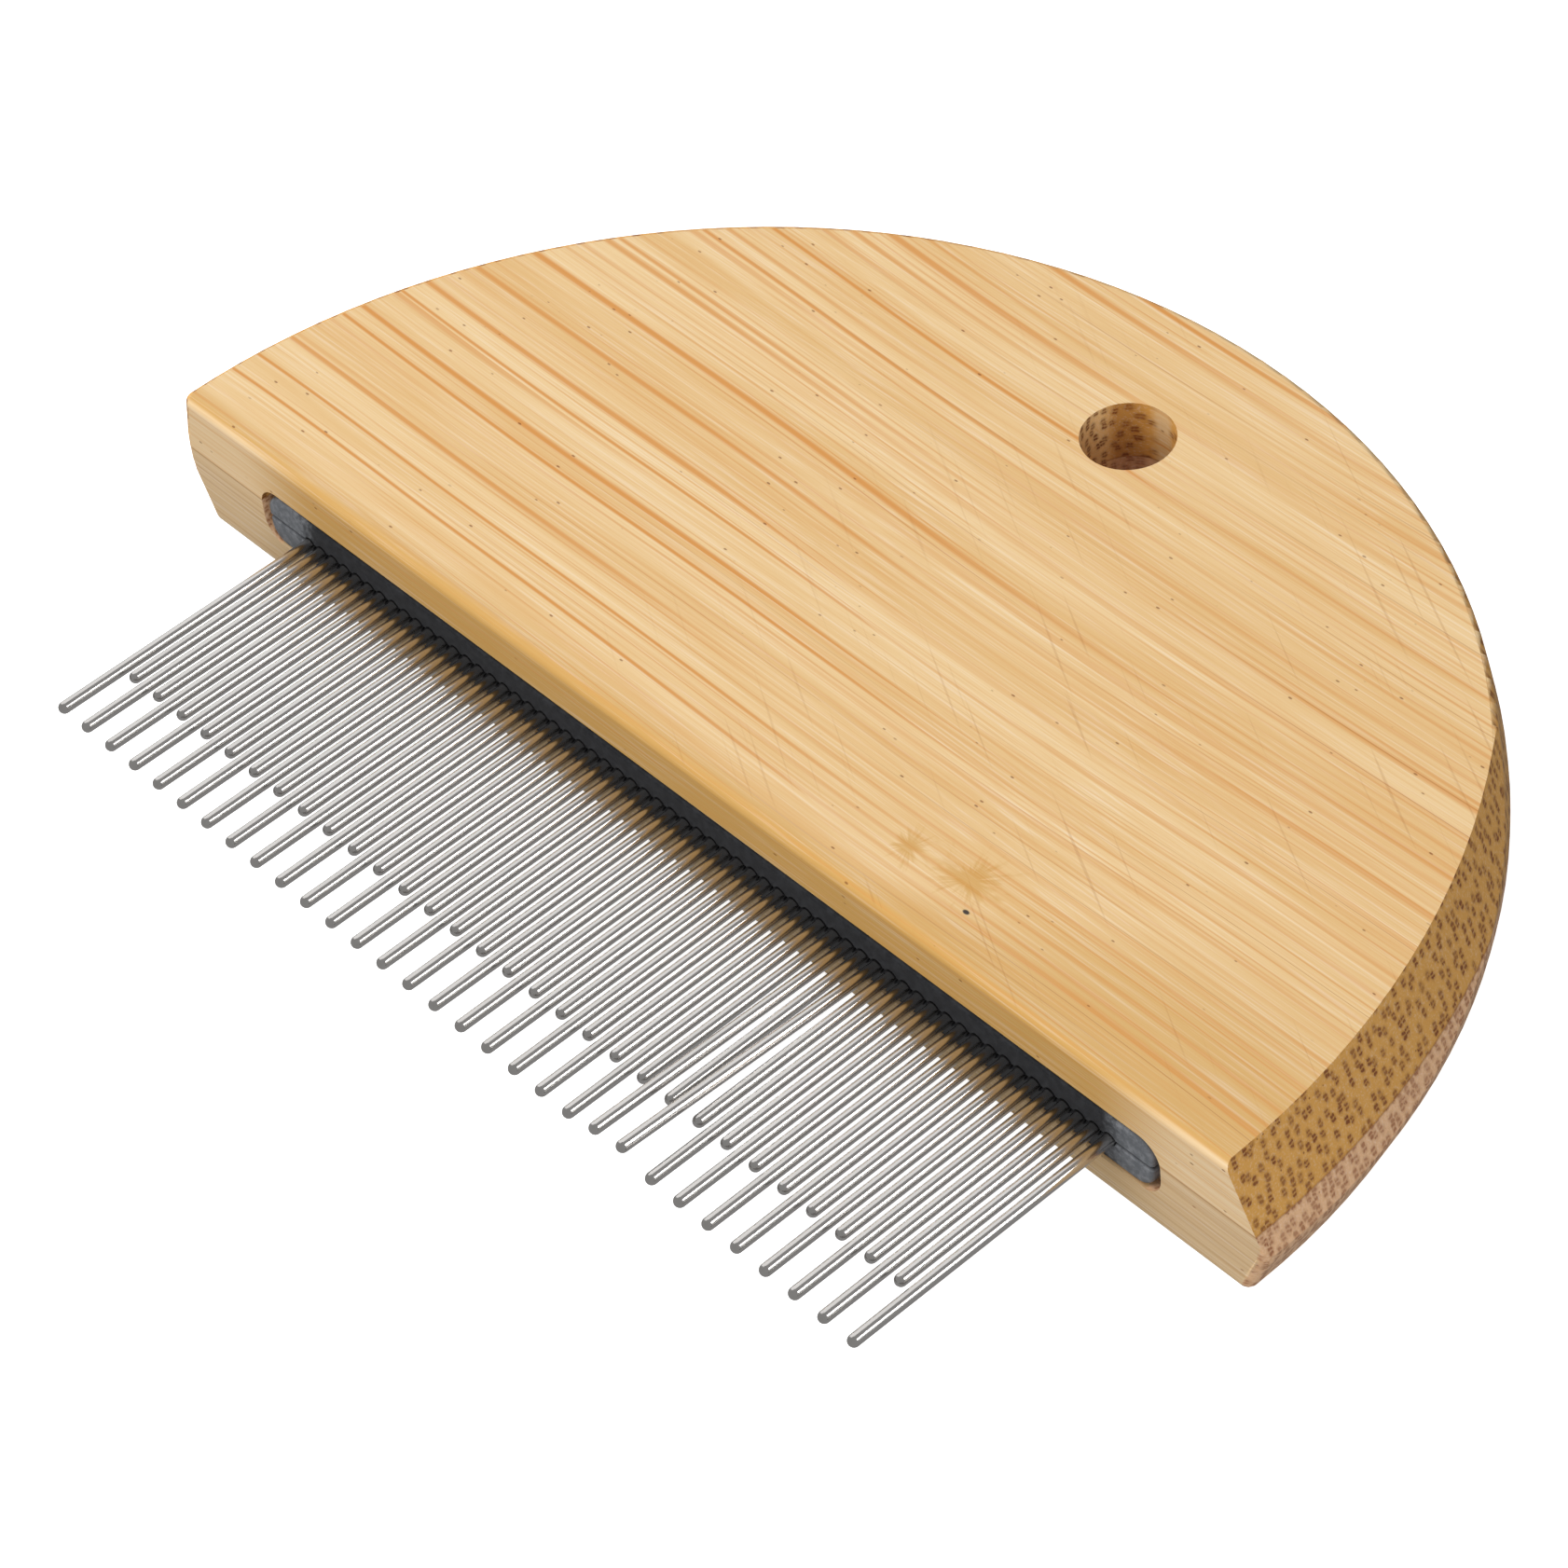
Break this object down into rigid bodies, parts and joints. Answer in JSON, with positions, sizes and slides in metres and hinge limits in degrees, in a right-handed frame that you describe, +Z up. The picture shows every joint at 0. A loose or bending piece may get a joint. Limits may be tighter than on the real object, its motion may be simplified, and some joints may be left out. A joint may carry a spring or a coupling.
{
  "type": "pet moulting comb",
  "caption": "Half-moon bamboo handle with a hanging hole, holding a row of alternating long and short round-tipped steel pins that turn in a black plastic bar.",
  "frame": {"origin": "centre of the footprint, on the flat face that the comb rests on", "axes": "+X along the straight, toothed edge; +Y from the pins to the top of the arc; +Z up through the thickness"},
  "size_m": [0.1129, 0.0815, 0.012],
  "materials": {
    "bamboo": "sanded, oiled, satin",
    "bar_plastic": "moulded, satin",
    "pin_steel": "polished stainless steel"
  },
  "bodies": {
    "comb_body": {"handle_top_ply": "bamboo", "handle_bottom_ply": "bamboo", "pin_bar_top_half": "bar_plastic", "pin_bar_bottom_half": "bar_plastic", "short_pins": "pin_steel"},
    "long_pin_01": {"long_pin_01": "pin_steel"},
    "long_pin_02": {"long_pin_02": "pin_steel"},
    "long_pin_03": {"long_pin_03": "pin_steel"},
    "long_pin_04": {"long_pin_04": "pin_steel"},
    "long_pin_05": {"long_pin_05": "pin_steel"},
    "long_pin_06": {"long_pin_06": "pin_steel"},
    "long_pin_07": {"long_pin_07": "pin_steel"},
    "long_pin_08": {"long_pin_08": "pin_steel"},
    "long_pin_09": {"long_pin_09": "pin_steel"},
    "long_pin_10": {"long_pin_10": "pin_steel"},
    "long_pin_11": {"long_pin_11": "pin_steel"},
    "long_pin_12": {"long_pin_12": "pin_steel"},
    "long_pin_13": {"long_pin_13": "pin_steel"},
    "long_pin_14": {"long_pin_14": "pin_steel"},
    "long_pin_15": {"long_pin_15": "pin_steel"},
    "long_pin_16": {"long_pin_16": "pin_steel"},
    "long_pin_17": {"long_pin_17": "pin_steel"},
    "long_pin_18": {"long_pin_18": "pin_steel"},
    "long_pin_19": {"long_pin_19": "pin_steel"},
    "long_pin_20": {"long_pin_20": "pin_steel"},
    "long_pin_21": {"long_pin_21": "pin_steel"},
    "long_pin_22": {"long_pin_22": "pin_steel"},
    "long_pin_23": {"long_pin_23": "pin_steel"},
    "long_pin_24": {"long_pin_24": "pin_steel"},
    "long_pin_25": {"long_pin_25": "pin_steel"},
    "long_pin_26": {"long_pin_26": "pin_steel"},
    "long_pin_27": {"long_pin_27": "pin_steel"},
    "long_pin_28": {"long_pin_28": "pin_steel"},
    "long_pin_29": {"long_pin_29": "pin_steel"},
    "long_pin_30": {"long_pin_30": "pin_steel"},
    "long_pin_31": {"long_pin_31": "pin_steel"}
  },
  "joints": [
    {"name": "long_pin_01_spin", "type": "hinge", "parent": "comb_body", "child": "long_pin_01", "pos_m": [-0.042, -0.01725, 0.0054], "axis": [0, -1, 0], "continuous": true},
    {"name": "long_pin_02_spin", "type": "hinge", "parent": "comb_body", "child": "long_pin_02", "pos_m": [-0.0392, -0.01725, 0.0054], "axis": [0, -1, 0], "continuous": true},
    {"name": "long_pin_03_spin", "type": "hinge", "parent": "comb_body", "child": "long_pin_03", "pos_m": [-0.0364, -0.01725, 0.0054], "axis": [0, -1, 0], "continuous": true},
    {"name": "long_pin_04_spin", "type": "hinge", "parent": "comb_body", "child": "long_pin_04", "pos_m": [-0.0336, -0.01725, 0.0054], "axis": [0, -1, 0], "continuous": true},
    {"name": "long_pin_05_spin", "type": "hinge", "parent": "comb_body", "child": "long_pin_05", "pos_m": [-0.0308, -0.01725, 0.0054], "axis": [0, -1, 0], "continuous": true},
    {"name": "long_pin_06_spin", "type": "hinge", "parent": "comb_body", "child": "long_pin_06", "pos_m": [-0.028, -0.01725, 0.0054], "axis": [0, -1, 0], "continuous": true},
    {"name": "long_pin_07_spin", "type": "hinge", "parent": "comb_body", "child": "long_pin_07", "pos_m": [-0.0252, -0.01725, 0.0054], "axis": [0, -1, 0], "continuous": true},
    {"name": "long_pin_08_spin", "type": "hinge", "parent": "comb_body", "child": "long_pin_08", "pos_m": [-0.0224, -0.01725, 0.0054], "axis": [0, -1, 0], "continuous": true},
    {"name": "long_pin_09_spin", "type": "hinge", "parent": "comb_body", "child": "long_pin_09", "pos_m": [-0.0196, -0.01725, 0.0054], "axis": [0, -1, 0], "continuous": true},
    {"name": "long_pin_10_spin", "type": "hinge", "parent": "comb_body", "child": "long_pin_10", "pos_m": [-0.0168, -0.01725, 0.0054], "axis": [0, -1, 0], "continuous": true},
    {"name": "long_pin_11_spin", "type": "hinge", "parent": "comb_body", "child": "long_pin_11", "pos_m": [-0.014, -0.01725, 0.0054], "axis": [0, -1, 0], "continuous": true},
    {"name": "long_pin_12_spin", "type": "hinge", "parent": "comb_body", "child": "long_pin_12", "pos_m": [-0.0112, -0.01725, 0.0054], "axis": [0, -1, 0], "continuous": true},
    {"name": "long_pin_13_spin", "type": "hinge", "parent": "comb_body", "child": "long_pin_13", "pos_m": [-0.0084, -0.01725, 0.0054], "axis": [0, -1, 0], "continuous": true},
    {"name": "long_pin_14_spin", "type": "hinge", "parent": "comb_body", "child": "long_pin_14", "pos_m": [-0.0056, -0.01725, 0.0054], "axis": [0, -1, 0], "continuous": true},
    {"name": "long_pin_15_spin", "type": "hinge", "parent": "comb_body", "child": "long_pin_15", "pos_m": [-0.0028, -0.01725, 0.0054], "axis": [0, -1, 0], "continuous": true},
    {"name": "long_pin_16_spin", "type": "hinge", "parent": "comb_body", "child": "long_pin_16", "pos_m": [0, -0.01725, 0.0054], "axis": [0, -1, 0], "continuous": true},
    {"name": "long_pin_17_spin", "type": "hinge", "parent": "comb_body", "child": "long_pin_17", "pos_m": [0.0028, -0.01725, 0.0054], "axis": [0, -1, 0], "continuous": true},
    {"name": "long_pin_18_spin", "type": "hinge", "parent": "comb_body", "child": "long_pin_18", "pos_m": [0.0056, -0.01725, 0.0054], "axis": [0, -1, 0], "continuous": true},
    {"name": "long_pin_19_spin", "type": "hinge", "parent": "comb_body", "child": "long_pin_19", "pos_m": [0.0084, -0.01725, 0.0054], "axis": [0, -1, 0], "continuous": true},
    {"name": "long_pin_20_spin", "type": "hinge", "parent": "comb_body", "child": "long_pin_20", "pos_m": [0.0112, -0.01725, 0.0054], "axis": [0, -1, 0], "continuous": true},
    {"name": "long_pin_21_spin", "type": "hinge", "parent": "comb_body", "child": "long_pin_21", "pos_m": [0.014, -0.01725, 0.0054], "axis": [0, -1, 0], "continuous": true},
    {"name": "long_pin_22_spin", "type": "hinge", "parent": "comb_body", "child": "long_pin_22", "pos_m": [0.0168, -0.01725, 0.0054], "axis": [0, -0.9997, 0.0262], "continuous": true},
    {"name": "long_pin_23_spin", "type": "hinge", "parent": "comb_body", "child": "long_pin_23", "pos_m": [0.0196, -0.01725, 0.0054], "axis": [0, -0.999, 0.0436], "continuous": true},
    {"name": "long_pin_24_spin", "type": "hinge", "parent": "comb_body", "child": "long_pin_24", "pos_m": [0.0224, -0.01725, 0.0054], "axis": [0, -1, 0], "continuous": true},
    {"name": "long_pin_25_spin", "type": "hinge", "parent": "comb_body", "child": "long_pin_25", "pos_m": [0.0252, -0.01725, 0.0054], "axis": [0, -1, 0], "continuous": true},
    {"name": "long_pin_26_spin", "type": "hinge", "parent": "comb_body", "child": "long_pin_26", "pos_m": [0.028, -0.01725, 0.0054], "axis": [0, -1, 0], "continuous": true},
    {"name": "long_pin_27_spin", "type": "hinge", "parent": "comb_body", "child": "long_pin_27", "pos_m": [0.0308, -0.01725, 0.0054], "axis": [0, -1, 0], "continuous": true},
    {"name": "long_pin_28_spin", "type": "hinge", "parent": "comb_body", "child": "long_pin_28", "pos_m": [0.0336, -0.01725, 0.0054], "axis": [0, -1, 0], "continuous": true},
    {"name": "long_pin_29_spin", "type": "hinge", "parent": "comb_body", "child": "long_pin_29", "pos_m": [0.0364, -0.01725, 0.0054], "axis": [0, -1, 0], "continuous": true},
    {"name": "long_pin_30_spin", "type": "hinge", "parent": "comb_body", "child": "long_pin_30", "pos_m": [0.0392, -0.01725, 0.0054], "axis": [0, -1, 0], "continuous": true},
    {"name": "long_pin_31_spin", "type": "hinge", "parent": "comb_body", "child": "long_pin_31", "pos_m": [0.042, -0.01725, 0.0054], "axis": [0, -1, 0], "continuous": true}
  ]
}
